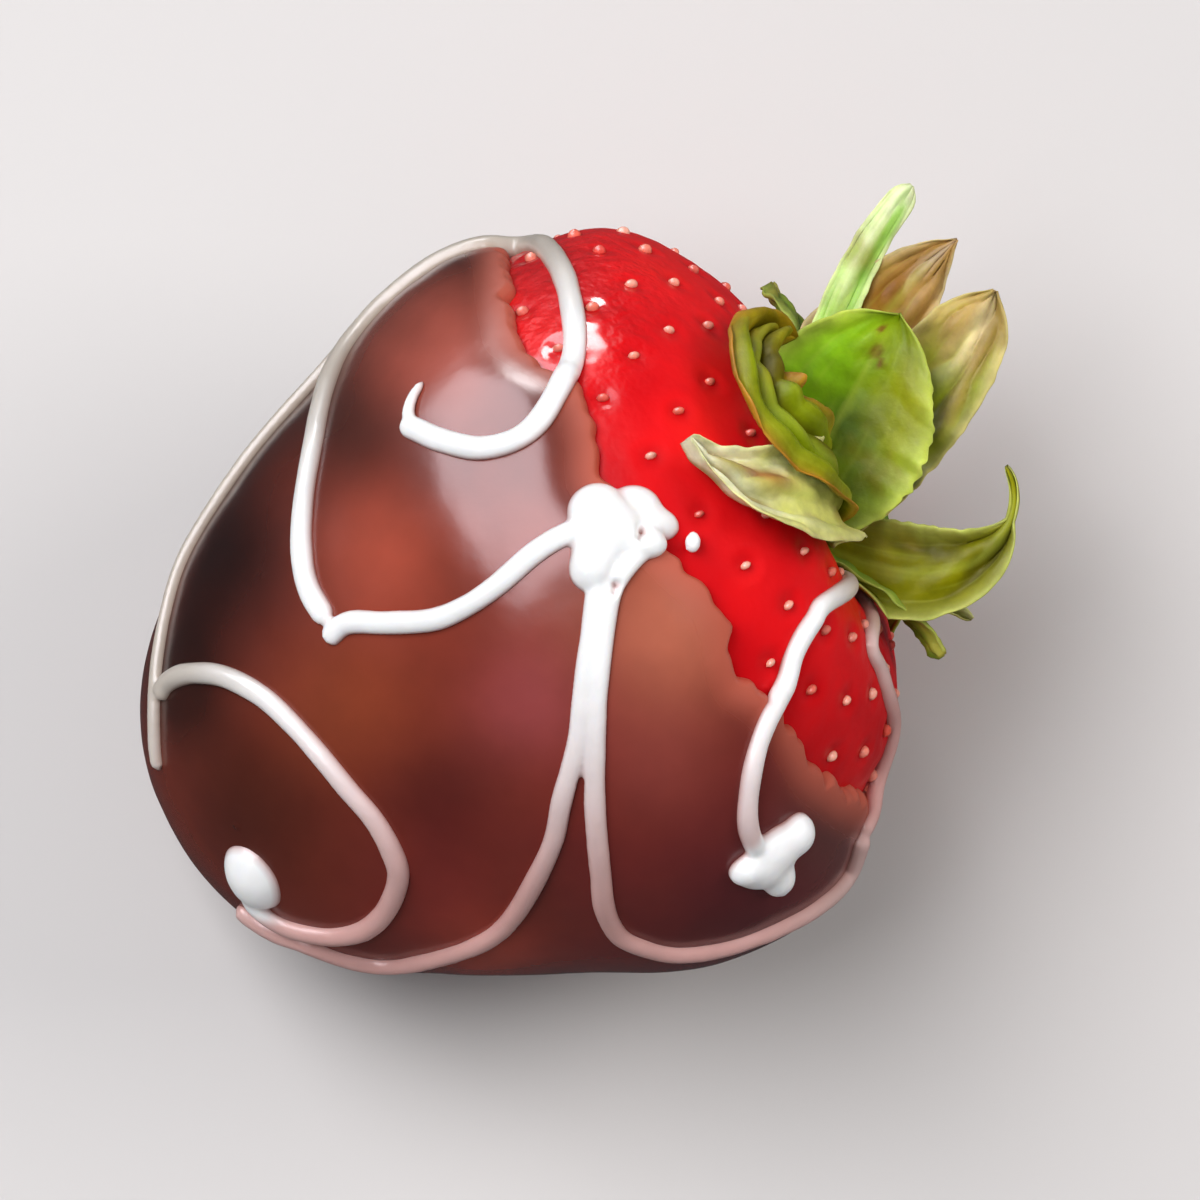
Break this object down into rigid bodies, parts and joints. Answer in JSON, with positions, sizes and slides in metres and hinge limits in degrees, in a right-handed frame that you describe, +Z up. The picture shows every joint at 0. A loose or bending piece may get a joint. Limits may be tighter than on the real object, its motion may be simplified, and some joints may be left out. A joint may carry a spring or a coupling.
{
  "type": "chocolate drizzled strawberry",
  "caption": "Whole strawberry lying on its side, dipped in dark chocolate up to the shoulder and piped with white chocolate, with its green leaves.",
  "frame": {"origin": "middle of the small flat spot on the underside that the chocolate rests on", "axes": "+Z up; +Y from the tip towards the leaves, level; +X to the right of that line seen from above"},
  "size_m": [0.0499, 0.0621, 0.047],
  "materials": {
    "berry": "ripe red fruit skin, wet and glossy, with pale seeds",
    "chocolate": "set dark chocolate with a soft gloss",
    "drizzle": "piped white chocolate, smooth, with a soft gloss",
    "leaf": "fresh green leaf with drying brown tips"
  },
  "bodies": {
    "root": {"berry": "berry", "chocolate_coat": "chocolate", "calyx": "leaf"}
  },
  "joints": []
}
